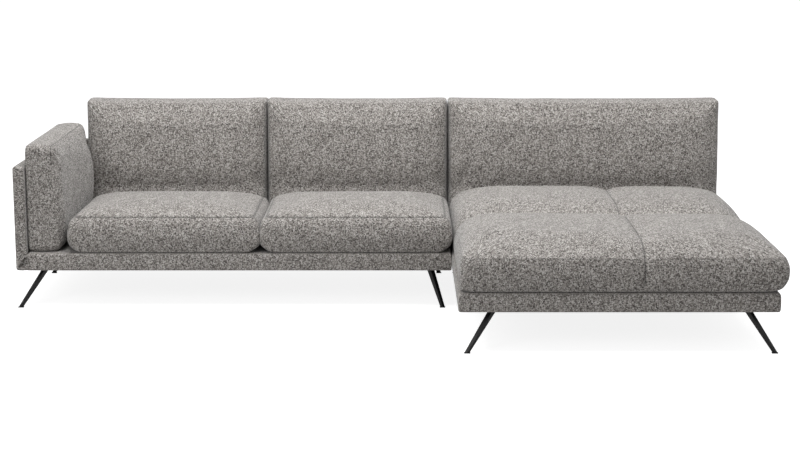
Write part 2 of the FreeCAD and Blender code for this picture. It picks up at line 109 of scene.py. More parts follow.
# %% Woven melange upholstery
yarn_width = 2.8 * MM
float_length = 7.5 * MM
upholstery_light = "#c6c3bf"
upholstery_mid = "#8c8782"
upholstery_dark = "#423e3c"


def melange_cloth(name):
    material, tree, shader = new_material(name, {
        "Roughness": 0.92, "Sheen Weight": 0.28, "Sheen Roughness": 0.45, "Specular IOR Level": 0.25})
    shader.inputs["Sheen Tint"].default_value = linear("#f2f3f4")
    uv = add_node(tree, "ShaderNodeUVMap", {"uv_map": "cloth"})
    wobble = add_node(tree, "ShaderNodeTexNoise", inputs={"Scale": 0.35 / yarn_width, "Detail": 2.0},
                      Vector=uv.outputs["UV"])
    shift = add_node(tree, "ShaderNodeVectorMath", {"operation": "MULTIPLY_ADD"},
                     i0=wobble.outputs["Color"], i2=uv.outputs["UV"])
    shift.inputs[1].default_value = (0.9 * yarn_width, 0.9 * yarn_width, 0.0)
    floats = []
    for turn, seed in ((0.0, 0.0), (math.pi / 2, 3.7)):
        turned = add_node(tree, "ShaderNodeMapping",
                          inputs={"Rotation": (0.0, 0.0, turn), "Location": (seed, seed / 3, 0.0)},
                          Vector=shift.outputs["Vector"])
        brick = add_node(tree, "ShaderNodeTexBrick", {"offset": 0.37, "offset_frequency": 3, "squash": 1.0},
                         {"Color1": (0.0, 0.0, 0.0, 1.0), "Color2": (1.0, 1.0, 1.0, 1.0),
                          "Mortar": (0.1, 0.1, 0.1, 1.0), "Scale": 1.0, "Mortar Size": 0.12 * yarn_width,
                          "Mortar Smooth": 0.8, "Bias": 0.0, "Brick Width": float_length,
                          "Row Height": yarn_width}, Vector=turned.outputs["Vector"])
        floats.append(brick)
    choose = add_node(tree, "ShaderNodeTexNoise", inputs={"Scale": 0.55 / yarn_width, "Detail": 1.0},
                      Vector=uv.outputs["UV"])
    sharp = add_node(tree, "ShaderNodeMapRange", inputs={"From Min": 0.46, "From Max": 0.54},
                     Value=choose.outputs["Fac"])
    shade = add_node(tree, "ShaderNodeMix", {"data_type": "RGBA"}, i0=sharp.outputs["Result"],
                     i6=floats[0].outputs["Color"], i7=floats[1].outputs["Color"])
    fibre = add_node(tree, "ShaderNodeTexNoise", inputs={"Scale": 2.2 / yarn_width, "Detail": 3.0},
                     Vector=uv.outputs["UV"])
    cloudy = add_node(tree, "ShaderNodeTexNoise", inputs={"Scale": 9.0, "Detail": 3.0},
                      Vector=uv.outputs["UV"])
    mixed = add_node(tree, "ShaderNodeMix", {"data_type": "RGBA", "blend_type": "LINEAR_LIGHT"},
                     {"Factor": 0.35}, i6=shade.outputs[2], i7=fibre.outputs["Fac"])
    patch = add_node(tree, "ShaderNodeMix", {"data_type": "RGBA", "blend_type": "LINEAR_LIGHT"},
                     {"Factor": 0.07}, i6=mixed.outputs[2], i7=cloudy.outputs["Fac"])
    ramp = add_node(tree, "ShaderNodeValToRGB", Fac=patch.outputs[2])
    ramp.color_ramp.elements[0].position = 0.08
    ramp.color_ramp.elements[0].color = linear(upholstery_dark)
    ramp.color_ramp.elements[1].position = 0.95
    ramp.color_ramp.elements[1].color = linear(upholstery_light)
    middle = ramp.color_ramp.elements.new(0.5)
    middle.color = linear(upholstery_mid)
    seam = add_node(tree, "ShaderNodeAttribute", {"attribute_name": "seam"})
    shaded = add_node(tree, "ShaderNodeMapRange", inputs={"To Min": 1.0, "To Max": 0.35},
                      Value=seam.outputs["Fac"])
    bright = add_node(tree, "ShaderNodeVectorMath", {"operation": "SCALE"}, i0=ramp.outputs["Color"],
                      Scale=shaded.outputs["Result"])
    tree.links.new(bright.outputs["Vector"], shader.inputs["Base Color"])
    relief = add_node(tree, "ShaderNodeBump", inputs={"Strength": 0.55, "Distance": 0.9 * MM},
                      Height=mixed.outputs[2])
    tree.links.new(relief.outputs["Normal"], shader.inputs["Normal"])
    return material


cloth = melange_cloth("woven_melange_upholstery")

# %% [markdown]
# The legs are folded sheet steel with a satin black powder coat: not metallic to the eye,
# because the coat hides the steel, with a fine orange-peel texture and soft broad highlights.

# %% Painted steel, zinc, timber, webbing, felt and lining
def noisy_finish(name, hex_low, hex_high, size, inputs, stretch=(1.0, 1.0, 1.0), relief=0.1, depth=0.1 * MM):
    """A finish that wanders between two close colours, with a matching fine relief."""
    material, tree, shader = new_material(name, inputs)
    place = add_node(tree, "ShaderNodeTexCoord")
    scaled = add_node(tree, "ShaderNodeMapping", inputs={"Scale": stretch}, Vector=place.outputs["Object"])
    noise = add_node(tree, "ShaderNodeTexNoise", inputs={"Scale": 1.0 / size, "Detail": 5.0},
                     Vector=scaled.outputs["Vector"])
    ramp = add_node(tree, "ShaderNodeValToRGB", Fac=noise.outputs["Fac"])
    ramp.color_ramp.elements[0].position = 0.35
    ramp.color_ramp.elements[0].color = linear(hex_low)
    ramp.color_ramp.elements[1].position = 0.65
    ramp.color_ramp.elements[1].color = linear(hex_high)
    tree.links.new(ramp.outputs["Color"], shader.inputs["Base Color"])
    bump = add_node(tree, "ShaderNodeBump", inputs={"Strength": relief, "Distance": depth},
                    Height=noise.outputs["Fac"])
    tree.links.new(bump.outputs["Normal"], shader.inputs["Normal"])
    return material


finishes = {
    "black_steel": noisy_finish("satin_black_powder_coat", "#070708", "#0c0c0d", 1.5 * MM,
                                {"Roughness": 0.38, "Coat Weight": 0.15, "Coat Roughness": 0.3}),
    "zinc_steel": noisy_finish("zinc_plated_steel", "#9fa3a6", "#b9bcbe", 12 * MM,
                               {"Metallic": 1.0, "Roughness": 0.36}),
    "timber": noisy_finish("planed_pine", "#b98d57", "#dcb884", 9 * MM, {"Roughness": 0.62},
                           stretch=(0.25, 0.25, 2.0), relief=0.3),
    "webbing": noisy_finish("woven_elastic_webbing", "#2b2a29", "#4a4744", 3 * MM, {"Roughness": 0.85},
                            relief=0.6, depth=0.5 * MM),
    "felt": noisy_finish("needled_felt", "#77736e", "#8b8782", 4 * MM,
                         {"Roughness": 0.95, "Sheen Weight": 0.3}, relief=0.6, depth=0.5 * MM),
    "dust_cloth": noisy_finish("spunbonded_lining", "#141414", "#232323", 2 * MM, {"Roughness": 0.9},
                               relief=0.4, depth=0.3 * MM),
    "glide": noisy_finish("moulded_nylon", "#101011", "#18181a", 2 * MM, {"Roughness": 0.5}),
    "foam": noisy_finish("cold_cure_foam", "#d8cfa8", "#e6dfbe", 2 * MM, {"Roughness": 0.95}),
    "upholstery": cloth,
}
for node_name, node_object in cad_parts.items():
    slots = node_object.data.materials
    slot_name = slots[0].name.split(".")[0] if slots and slots[0] else ""
    if slot_name in finishes:
        slots[0] = finishes[slot_name]
    else:
        print("no finish for", node_name, slot_name)

# %% [markdown]
# Sewn pieces are panels joined at seams. Each panel is a grid of points worked out as whole arrays,
# and the panels share their border points, so the skin is closed.
# A cushion lies in its own directions: u and v along its large panels, w through its thickness.

# %% Grid helpers
crease_width = 4.0 * MM


def side_places(low, high, step, corner, seams=()):
    """Places from low to high about one step apart: four in each corner's radius, one on every seam
    and one close to each side of it."""
    stops = [low + corner, *seams, high - corner]
    parts = [np.linspace(low, low + corner, 4, endpoint=False),
             np.linspace(high - corner, high, 5)[1:]]
    for start, end in zip(stops, stops[1:]):
        count = max(2, round((end - start) / step))
        parts.append(np.linspace(start, end, count + 1))
    for seam in seams:
        parts.append(np.array([seam - crease_width, seam + crease_width]))
    return np.unique(np.round(np.concatenate(parts), 6))


def pull_in(places, inset, fixed):
    """The same places after both ends have moved in by inset, in proportion, with the fixed place kept."""
    low, high = places[0], places[-1]
    return np.interp(places, [low, fixed, high], [low + inset, fixed, high - inset])


def loop_round(us, vs):
    """Places round a rectangle, anticlockwise from its first corner and closed on it."""
    near = np.stack([us, np.full_like(us, vs[0])], 1)
    right = np.stack([np.full_like(vs, us[-1]), vs], 1)
    far = np.stack([us[::-1], np.full_like(us, vs[-1])], 1)
    left = np.stack([np.full_like(vs, us[0]), vs[::-1]], 1)
    return np.concatenate([near[:-1], right[:-1], far[:-1], left])


def round_corners(uv, low, high, radius):
    """Bends a rectangle's corners: beyond a corner's centre, a square offset keeps its longer side
    as its length and its own direction, so squares become quarter circles."""
    centre = (low + high) / 2
    inner = (high - low) / 2 - radius
    relative = uv - centre
    core = np.clip(relative, -inner, inner)
    offset = relative - core
    length = np.linalg.norm(offset, axis=-1, keepdims=True)
    reach = np.abs(offset).max(axis=-1, keepdims=True)
    share = np.where(length > 1e-9, reach / np.maximum(length, 1e-9), 1.0)
    return centre + core + offset * share


def grid_quads(rows, cols, flip=False):
    """Corner indices of the squares between grid points, whose number is row * cols + column."""
    row, col = np.meshgrid(np.arange(rows - 1), np.arange(cols - 1), indexing="ij")
    first = (row * cols + col).ravel()
    quads = np.stack([first, first + 1, first + cols + 1, first + cols], 1)
    return quads[:, ::-1] if flip else quads


# %% Sewing panels into one closed skin
def sew(panels):
    """Joins panels, each a dict of points (rows, cols, 3), uv (rows, cols, 2) and flip.
    Points in the same place become one. Returns points, quads, the uv of each quad's corners,
    and for each panel the index of its points in the joined list."""
    all_points = np.concatenate([p["points"].reshape(-1, 3) for p in panels])
    all_uv = np.concatenate([p["uv"].reshape(-1, 2) for p in panels])
    keys = np.round(all_points, 6)
    _, first, inverse = np.unique(keys, axis=0, return_index=True, return_inverse=True)
    inverse = inverse.ravel()
    quads = []
    uv = []
    places = []
    start = 0
    for p in panels:
        rows, cols = p["points"].shape[:2]
        square = grid_quads(rows, cols, p.get("flip", False)) + start
        quads.append(inverse[square])
        uv.append(all_uv[square])
        places.append(inverse[start:start + rows * cols].reshape(rows, cols))
        start += rows * cols
    return all_points[first], np.concatenate(quads), np.concatenate(uv), places


def make_mesh(name, points, quads, uv=None):
    """A mesh object at the origin, with smooth faces and its cloth map in metres."""
    mesh = bpy.data.meshes.new(name)
    mesh.vertices.add(len(points))
    mesh.vertices.foreach_set("co", points.astype(np.float32).ravel())
    mesh.loops.add(quads.size)
    mesh.loops.foreach_set("vertex_index", quads.astype(np.int32).ravel())
    mesh.polygons.add(len(quads))
    mesh.polygons.foreach_set("loop_start", np.arange(0, quads.size, quads.shape[1], dtype=np.int32))
    mesh.update(calc_edges=True)
    mesh.polygons.foreach_set("use_smooth", np.ones(len(quads), bool))
    if uv is not None:
        layer = mesh.uv_layers.new(name="cloth")
        layer.data.foreach_set("uv", uv.astype(np.float32).ravel())
    obj = bpy.data.objects.new(name, mesh)
    scene.collection.objects.link(obj)
    return obj


def mark_seams(obj, values):
    """Stores how deep in a seam each point lies, which the cloth reads."""
    layer = obj.data.attributes.new("seam", "FLOAT", "POINT")
    layer.data.foreach_set("value", values.astype(np.float32))


def dress(obj):
    """Upholstery cloth on the mesh, and one level of subdivision."""
    obj.data.materials.append(cloth)
    rounder = obj.modifiers.new("Subdivision", "SUBSURF")
    rounder.levels = 1
    rounder.render_levels = 1
    print(obj.name, len(obj.data.vertices), "points before its subdivision")
    return obj

# %% [markdown]
# A box cushion is a bottom panel, a strip round its side and a top panel, filled with foam and wadding.
# Its side is a profile carried round the outline: rounded at the bottom edge, a little bowed,
# drawn in at the seam, then a soft shoulder that rises to the crown.
# It could be a bevelled box, but then the seam, the crown and the roundings couldn't be set one by one.

# %% Profile of a cushion's side
def side_profile(foot, belly, seam, top, bow, shoulder, fullness, step):
    """Rows (inset, w): a quarter circle of radius foot, a side bowed by half a sine wave up to the belly,
    then in to the crown along 1 - (1 - t^n)^(1/n), shoulder wide, t being the share of the height, with
    a row on the seam and one at each side of it. n is 2 for an ellipse and more for a fuller shoulder."""
    rows = []
    for angle in np.linspace(0, math.pi / 2, max(4, round(foot * 1.57 / step)), endpoint=False):
        rows.append((foot * (1 - math.sin(angle)), foot * (1 - math.cos(angle))))
    for share in np.linspace(0, 1, max(3, round((belly - foot) / step)), endpoint=False):
        rows.append((-bow * math.sin(math.pi * share), foot + (belly - foot) * share))
    turns = np.linspace(0, math.pi / 2, max(8, round((shoulder + top - belly) / step)) + 1)
    heights = belly + (top - belly) * np.sin(turns)
    heights = heights[np.abs(heights - seam) > 1.9 * crease_width]
    heights = np.sort(np.concatenate([heights, [seam - crease_width, seam, seam + crease_width]]))
    share = np.clip((heights - belly) / (top - belly), 0, 1)
    insets = shoulder * (1 - (1 - share ** fullness) ** (1 / fullness))
    rows = np.concatenate([np.array(rows), np.column_stack([insets, heights])])
    return rows, int(np.argmin(np.abs(rows[:, 1] - seam)))


def box_panels(us, vs, low, high, profile, corner, corner_growth, fixed):
    """Bottom, side and top panels of a cushion over the rectangle low to high."""
    rows = []
    for inset, w in profile:
        u = pull_in(us, inset, fixed[0])
        v = pull_in(vs, inset, fixed[1])
        radius = corner + corner_growth * max(inset, 0.0)
        loop = round_corners(loop_round(u, v), low + inset, high - inset, radius)
        rows.append(np.column_stack([loop, np.full(len(loop), w)]))
    side = np.stack(rows)
    around = np.concatenate([[0], np.cumsum(np.linalg.norm(np.diff(side[len(rows) // 3], axis=0), axis=1))])
    steps = np.linalg.norm(np.diff(profile, axis=0), axis=1)
    up = np.concatenate([[0], np.cumsum(steps)])
    side_uv = np.stack(np.broadcast_arrays(around[None, :], up[:, None]), -1)
    panels = [dict(points=side, uv=side_uv)]
    for row, flip in ((0, True), (-1, False)):
        inset, w = profile[row]
        u = pull_in(us, inset, fixed[0])
        v = pull_in(vs, inset, fixed[1])
        uu, vv = np.meshgrid(u, v)
        radius = corner + corner_growth * max(inset, 0.0)
        flat = round_corners(np.stack([uu, vv], -1), low + inset, high - inset, radius)
        points = np.concatenate([flat, np.full(flat.shape[:2] + (1,), w)], -1)
        panels.append(dict(points=points, uv=flat - low + (7.3, 0.0), flip=flip))
    return panels

# %% [markdown]
# Stuffing presses on the cloth from inside, and seams hold it back. The profile above gives most of the
# form. Cloth simulation adds the last one or two millimetres, and more in a few places: the seams and the
# resting panel are held, and air pressure swells the rest.
# The grid's squares are already even, so it needs no remesh and keeps its seams and its cloth map.
# How far a point may move is capped, so that the cushion keeps its size.

# %% Swelling a cushion with cloth simulation
swell_frames = 20


def swell(points, quads, held, pressure, cap):
    """Moves of the points after swell_frames of pressure without gravity, none longer than the cap."""
    obj = make_mesh("swelling", points, quads)
    group = obj.vertex_groups.new(name="held")
    group.add(np.flatnonzero(held).tolist(), 1.0, "REPLACE")
    modifier = obj.modifiers.new("Cloth", "CLOTH")
    settings = modifier.settings
    settings.quality = 4
    settings.mass = 0.3
    settings.tension_stiffness = 40.0
    settings.compression_stiffness = 40.0
    settings.shear_stiffness = 12.0
    settings.bending_stiffness = 2.0
    settings.vertex_group_mass = "held"
    settings.use_pressure = True
    settings.uniform_pressure_force = pressure
    settings.effector_weights.gravity = 0.0
    modifier.collision_settings.use_collision = False
    for number in range(1, swell_frames + 1):
        scene.frame_set(number)
    seen = obj.evaluated_get(bpy.context.evaluated_depsgraph_get())
    moved = np.empty(len(points) * 3, np.float32)
    seen.data.vertices.foreach_get("co", moved)
    scene.frame_set(1)
    bpy.data.objects.remove(obj)
    move = moved.reshape(-1, 3).astype(float) - points
    length = np.linalg.norm(move, axis=1, keepdims=True)
    print("swelling: middle move", round(float(np.median(length)) * 1000, 1), "mm, largest",
          round(float(length.max()) * 1000, 1), "mm")
    return move * np.minimum(1.0, cap / np.maximum(length, 1e-9))

# %% [markdown]
# Where two panels are sewn together, the seam pulls the cloth down into a narrow groove.
# The grid has a row exactly on each seam, so the groove is a short move of those points inwards.
# The same rows get a mark, which the cloth reads: in the bottom of a seam the cloth is in shadow.

# %% Seams and tuft lines
def outward_normals(points, quads):
    """The unit normal of each point: the sum of its squares' area vectors, made one long."""
    a, b, c, d = (points[quads[:, i]] for i in range(4))
    area = np.cross(c - a, d - b)
    total = np.zeros_like(points)
    for i in range(4):
        np.add.at(total, quads[:, i], area)
    return total / np.maximum(np.linalg.norm(total, axis=1, keepdims=True), 1e-12)


def slow_waves(points, size, height, seed):
    """A soft unevenness of hand-filled cushions: a sum of six waves of random direction and phase."""
    source = np.random.default_rng(seed)
    directions = source.normal(size=(6, 3))
    directions /= np.linalg.norm(directions, axis=1, keepdims=True)
    phases = source.uniform(0, 2 * math.pi, 6)
    sizes = size * source.uniform(0.6, 1.6, 6)
    waves = np.sin(points @ (directions.T * 2 * math.pi / sizes) + phases)
    return height * waves.mean(axis=1)

# %% [markdown]
# All the cushions are made by one function. The differences between them are numbers:
# their rectangle and height, where the seam runs, how wide the shoulder is and how high the crown.
# turn says how the cushion stands: a seat lies flat, a back stands with its face to the front,
# and the arm cushion stands with its face to the right.

# %% One cushion
def lying(p):
    return p


def facing_front(p):
    """u to the right, v up, w to the front."""
    return np.stack([p[..., 0], -p[..., 2], p[..., 1]], -1)


def facing_right(p):
    """u to the rear, v up, w to the right."""
    return np.stack([p[..., 2], p[..., 0], p[..., 1]], -1)


def cushion(name, low, high, size, turn, shape=None, tufts=((), ()), pressure=4.0, cap=10 * MM,
            step=15 * MM, seed=1):
    """A sewn cushion over the rectangle low to high in its own (u, v). size holds foot, belly, seam, top,
    bow, shoulder, corner and growth, seam_mark how strongly the seam shows and seam_from the v from
    which it does. shape moves its points before the cloth is swollen."""
    low, high = np.array(low), np.array(high)
    profile, seam_row = side_profile(size["foot"], size["belly"], size["seam"], size["top"], size["bow"],
                                     size["shoulder"], size.get("fullness", 2.0), step)
    us = side_places(low[0], high[0], step, size["corner"], tufts[0])
    vs = side_places(low[1], high[1], step, size["corner"], tufts[1])
    fixed = (tufts[0][0] if tufts[0] else (low[0] + high[0]) / 2,
             tufts[1][0] if tufts[1] else (low[1] + high[1]) / 2)
    panels = box_panels(us, vs, low, high, profile, size["corner"], size["growth"], fixed)
    points, quads, uv, places = sew(panels)
    sewn = np.zeros(len(points))
    sewn[places[0][seam_row]] = size.get("seam_mark", 1.0)
    sewn *= points[:, 1] >= size.get("seam_from", -10.0)
    held = np.zeros(len(points), bool)
    held[places[0][:3]] = True
    held[places[1]] = True
    held[places[0][seam_row - 1:seam_row + 2]] = True
    for axis, lines in enumerate(tufts):
        for line in lines:
            away = np.abs(points[:, axis] - line)
            above = points[:, 2] > (size["foot"] if axis == 0 else size["belly"])
            held |= (away < 1.2 * crease_width) & above
            sewn[(away < 0.1 * MM) & above] = 1.0
    if shape:
        points = shape(points)
    points = points + swell(points, quads, held, pressure, cap)
    normals = outward_normals(points, quads)
    points = points - normals * (sewn * size.get("seam_depth", 2.5 * MM))[:, None]
    waves = slow_waves(points, 0.22, 1.6 * MM, seed)
    free = ~held
    points[free] += (normals * waves[:, None])[free]
    obj = make_mesh(name, turn(points), quads, uv)
    mark_seams(obj, sewn)
    return dress(obj)


def finish_soft(obj, body, nodes):
    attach(obj, body)
    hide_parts(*nodes)
    return obj

# %% [markdown]
# The seat cushions are box cushions 785 mm wide. Their front strip is about 145 mm high with well
# rounded lower corners, and the top panel rises from the seam in a broad soft shoulder.

# %% Seat cushions
def seat_form(low, high, crown, seam):
    """A dome over the top panel: crown times (1 - a^2)(1 - b^2), with a and b from -1 to 1 across it,
    and lower corners that rise over the last 45 mm, as stuffing leaves them."""
    half_width = (high[0] - low[0]) / 2
    drawn_in = 45 * MM

    def shape(points):
        p = points.copy()
        share = (p[:, :2] - (low + high) / 2) / ((high - low) / 2)
        lift = np.clip((p[:, 2] - seam) / 0.02, 0, 1)
        dome = np.clip(1 - share[:, 0] ** 2, 0, 1) * np.clip(1 - share[:, 1] ** 2, 0, 1)
        p[:, 2] += crown * dome * lift
        near_end = np.clip(np.abs(share[:, 0]) * half_width - (half_width - drawn_in), 0, None)
        foot = np.clip((0.05 - p[:, 2]) / 0.05, 0, 1)
        p[:, 2] += 0.55 * near_end * foot
        return p
    return shape


seat_size = dict(foot=0.015, belly=0.112, seam=0.146, top=0.176, bow=0.006, shoulder=0.145,
                 corner=0.026, growth=0.35, seam_depth=2.4 * MM)
for side, seed in (("left", 3), ("right", 8)):
    node = "seat_cushion_" + side + "_cover"
    lo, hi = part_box(node)
    low = np.array([lo.x + 1.5 * MM, lo.y])
    high = np.array([hi.x - 1.5 * MM, hi.y - 3 * MM])
    seat = cushion("seat_cushion_" + side, low, high, seat_size,
                   lambda p, z=lo.z: lying(p) + (0, 0, z), seat_form(low, high, 12 * MM, seat_size["seam"]),
                   seed=seed)
    finish_soft(seat, "seat_cushion_" + side,
                (node, "seat_cushion_" + side + "_core"))

# %% [markdown]
# The back cushions stand on the deck behind the seats. They are wedges: thick at the foot, thinner
# at the top, with a smooth front that leans back and small raised ears at the top corners.

# %% Back cushions
seat_height = 0.41


def wedge_form(low, high, foot_depth, top_depth, thickness):
    """Scales w from the rear plane so that the front leans: full depth at the foot, less at the top.
    Where the front meets the seat it is tucked in by 26 mm exp(-(v - seat_height) / 55 mm).
    The ears rise by 7 mm at the top corners and fade along 90 mm."""
    def shape(points):
        p = points.copy()
        up = np.clip((p[:, 1] - low[1]) / (high[1] - low[1]), 0, 1)
        depth = foot_depth + (top_depth - foot_depth) * up
        p[:, 2] *= depth / thickness
        tuck = 26 * MM * np.exp(-np.clip(p[:, 1] - seat_height, 0, None) / 0.055)
        p[:, 2] -= tuck * np.clip(points[:, 2] / thickness - 0.3, 0, 1) / 0.7
        side = np.minimum(p[:, 0] - low[0], high[0] - p[:, 0])
        ear = np.exp(-np.clip(side, 0, None) / 0.09) * np.clip((up - 0.8) / 0.2, 0, 1)
        p[:, 1] += 7 * MM * ear
        inward = np.sign((low[0] + high[0]) / 2 - p[:, 0])
        waist = np.sin(np.clip(up, 0, 1) * math.pi) * np.exp(-np.clip(side, 0, None) / 0.06)
        p[:, 0] += inward * 2.5 * MM * waist
        return p
    return shape


back_size = dict(foot=0.022, belly=0.20, seam=0.235, top=0.273, bow=0.002, shoulder=0.06,
                 corner=0.011, growth=0.35, seam_depth=1.5 * MM, seam_mark=0.4)
for name, seed in (("left", 11), ("middle", 12), ("right", 13)):
    node = "back_cushion_" + name + "_cover"
    lo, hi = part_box(node)
    low = np.array([lo.x + 1 * MM, lo.z + 0.5 * MM])
    high = np.array([hi.x - 1 * MM, hi.z - 7 * MM])
    thickness = back_size["top"]
    form = wedge_form(low, high, hi.y - lo.y - 4 * MM, hi.y - lo.y - 107 * MM, thickness)
    back = cushion("back_cushion_" + name, low, high, back_size,
                   lambda p, y=hi.y: facing_front(p) + (0, y, 0), form, cap=7 * MM, seed=seed)
    finish_soft(back, "back_cushion_" + name,
                (node, "back_cushion_" + name + "_core"))

# %% [markdown]
# The arm cushion leans on the inside of the arm panel. Its inner face swells towards the seat
# and is fullest low down; its top is narrower and shows a seam along the inner edge.

# %% Arm cushion
def arm_form(low, high, foot, top, beside_back, thickness):
    """Thickness by height and length: foot thick below and top thick above along half a cosine, with a
    bulge at half height that grows to the rear and ends where the back cushion begins, at y beside_back.
    The rear top corner rises and swells by 14 mm * exp(-d / 35 mm) at the distance d."""
    def shape(points):
        p = points.copy()
        up = np.clip((p[:, 1] - low[1]) / (high[1] - low[1]), 0, 1)
        back = np.clip((p[:, 0] - low[0]) / (beside_back - low[0]), 0, 1)
        full = foot + (top - foot) * (0.5 - 0.5 * np.cos(math.pi * np.clip(up * 1.1 - 0.05, 0, 1)))
        full += (4 * MM + 34 * MM * back ** 1.5) * np.sin(math.pi * up ** 1.3)
        past = np.clip((p[:, 0] - beside_back) / 0.05, 0, 1)
        narrow = past * past * (3 - 2 * past)
        limit = np.maximum(full, 0) + (np.minimum(full, 0.128) - full) * narrow
        p[:, 2] *= limit / thickness
        rear = np.clip((p[:, 0] - low[0]) / (high[0] - low[0]), 0, 1)
        p[:, 1] += (5 * MM + 9 * MM * rear) * np.clip((up - 0.6) / 0.4, 0, 1)
        to_corner = np.hypot(high[0] - points[:, 0], high[1] - points[:, 1])
        ear = np.exp(-to_corner / 0.035) * np.clip(points[:, 2] / 0.14, 0, 1)
        p[:, 1] += 14 * MM * ear
        p[:, 2] += 14 * MM * ear
        return p
    return shape


arm_size = dict(foot=0.012, belly=0.105, seam=0.132, top=0.16, bow=0.003, shoulder=0.034,
                corner=0.028, growth=0.3, seam_depth=2.5 * MM, seam_from=0.60)
lo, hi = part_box("arm_cushion_cover")
low = np.array([lo.y + 1 * MM, lo.z + 0.5 * MM])
high = np.array([hi.y - 1 * MM, hi.z - 1 * MM])
arm_cushion = cushion("arm_cushion", low, high, arm_size,
                      lambda p: facing_right(p) + (lo.x + 0.5 * MM, 0, 0),
                      arm_form(low, high, 0.143, 0.126, 0.515, arm_size["top"]),
                      cap=5 * MM, step=12 * MM, seed=21)
finish_soft(arm_cushion, "arm_cushion", ("arm_cushion_cover", "arm_cushion_core"))

# %% [markdown]
# The chaise pad is one long cushion, sewn through to its base along two lines that cross.
# The stuffing rises in four plump quarters, and the long line carries on down the front face.

# %% Chaise pad
def pulled_down(distance, depth, reach):
    """A pillow's edge beside a sewn line: a quarter of an ellipse, depth deep at the line and flat
    at reach from it."""
    t = np.clip(1 - np.abs(distance) / reach, 0, 1)
    return depth * (1 - np.sqrt(1 - t * t))


def pad_form(low, high, long_line, cross_line, overhang, seam, top):
    """Four pillows between the sewn lines. The front ones rise slowly from the front: what lies over
    the seam is lowered by 42 % * exp(-d / 140 mm) at the distance d. The side bulges over the base on
    the right and front by half a sine wave over its height, and both lines draw the sides in."""
    def shape(points):
        p = points.copy()
        height = np.clip(p[:, 2] / top, 0, 1)
        above = np.clip((p[:, 2] - 0.05) / 0.09, 0, 1)
        across = pulled_down(p[:, 1] - cross_line, 68 * MM, 0.36)
        along = pulled_down(p[:, 0] - long_line, 19 * MM, 0.085)
        p[:, 2] -= np.maximum(across, along) * above + np.minimum(across, along) * 0.25 * above
        from_front = np.clip(points[:, 1] - low[1], 0, None)
        over_seam = np.clip(points[:, 2] - seam, 0, None)
        p[:, 2] -= 0.42 * np.exp(-from_front / 0.14) * over_seam
        right = np.clip((p[:, 0] - (high[0] - 0.16)) / 0.16, 0, 1)
        left = np.clip((low[0] + 0.16 - p[:, 0]) / 0.16, 0, 1)
        p[:, 0] += overhang * np.sin(height ** 0.8 * math.pi) * right
        waist = pulled_down(points[:, 1] - cross_line, 16 * MM, 0.12) * np.clip(points[:, 2] / 0.1, 0, 1)
        p[:, 0] += waist * (left - right)
        front = np.clip((low[1] + 0.14 - p[:, 1]) / 0.14, 0, 1)
        pinch = pulled_down(points[:, 0] - long_line, 14 * MM, 0.05) * np.clip(points[:, 2] / 0.02, 0, 1)
        p[:, 1] += pinch * front
        p[:, 1] -= 8 * MM * np.sin(height ** 0.6 * math.pi) * front
        return p
    return shape


lo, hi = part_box("chaise_pad_cover")
base_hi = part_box("chaise_base_cover")[1]
low = np.array([lo.x + 1 * MM, lo.y + 12 * MM])
high = np.array([base_hi.x - 1 * MM, hi.y - 3 * MM])
long_line = 0.9675
cross_line = base_hi.y - 0.920
pad_size = dict(foot=0.019, belly=0.07, seam=0.127, top=0.200, bow=0.002, shoulder=0.125, fullness=2.4,
                corner=0.04, growth=0.4, seam_depth=3.0 * MM, seam_mark=0.35)
pad = cushion("chaise_pad", low, high, pad_size, lambda p: lying(p) + (0, 0, lo.z),
              pad_form(low, high, long_line, cross_line, hi.x - base_hi.x - 3 * MM, pad_size["seam"],
                       pad_size["top"]),
              tufts=((long_line,), (cross_line,)), cap=8 * MM, step=18 * MM, seed=31)
finish_soft(pad, "chaise_pad", ("chaise_pad_cover", "chaise_pad_core"))

# %% [markdown]
# The frame is wrapped in the same cloth. On the real sofa a few millimetres of wadding lie between cloth
# and timber, so no edge is sharp: every edge has a radius of about eight millimetres and the faces puff
# out a little. A panel is made like a cushion, with a profile round its outline, only hard and thin.

# %% Wrapped panels of the arm and the backs
sections = (("sofa", "two_seat_section"), ("chaise", "chaise_section"))


def panel_profile(thickness, radius, step):
    """Rows (inset, w): a quarter circle, a straight side with a slight puff, and a quarter circle."""
    angles = np.linspace(0, math.pi / 2, 5)
    near = np.column_stack([radius * (1 - np.sin(angles)), radius * (1 - np.cos(angles))])
    share = np.linspace(0, 1, max(3, round((thickness - 2 * radius) / step)) + 1)[1:-1]
    side = np.column_stack([-0.8 * MM * np.sin(math.pi * share), radius + (thickness - 2 * radius) * share])
    far = np.column_stack([near[::-1, 0], thickness - near[::-1, 1]])
    return np.concatenate([near, side, far])


def wrapped_panel(name, low, high, thickness, turn, radius=8 * MM, corner=10 * MM, puff=1.2 * MM,
                  step=16 * MM, shape=None):
    """A hard panel in cloth over the rectangle low to high, whose two faces puff by
    puff (1 - a^4)(1 - b^4), with a and b from -1 to 1 across the face."""
    low, high = np.array(low), np.array(high)
    profile = panel_profile(thickness, radius, 7 * MM)
    us = side_places(low[0], high[0], step, corner)
    vs = side_places(low[1], high[1], step, corner)
    panels = box_panels(us, vs, low, high, profile, corner, 0.0, (low + high) / 2)
    points, quads, uv, _ = sew(panels)
    share = (points[:, :2] - (low + high) / 2) / ((high - low) / 2)
    dome = np.clip(1 - share[:, 0] ** 4, 0, 1) * np.clip(1 - share[:, 1] ** 4, 0, 1)
    side = np.clip((points[:, 2] - thickness / 2) / (thickness / 2), -1, 1)
    points[:, 2] += puff * dome * side
    if shape:
        points = shape(points)
    return dress(make_mesh(name, turn(points), quads, uv))


def finish_cover(obj, body, slot, *nodes):
    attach(obj, body)
    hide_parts(*nodes)
    return obj


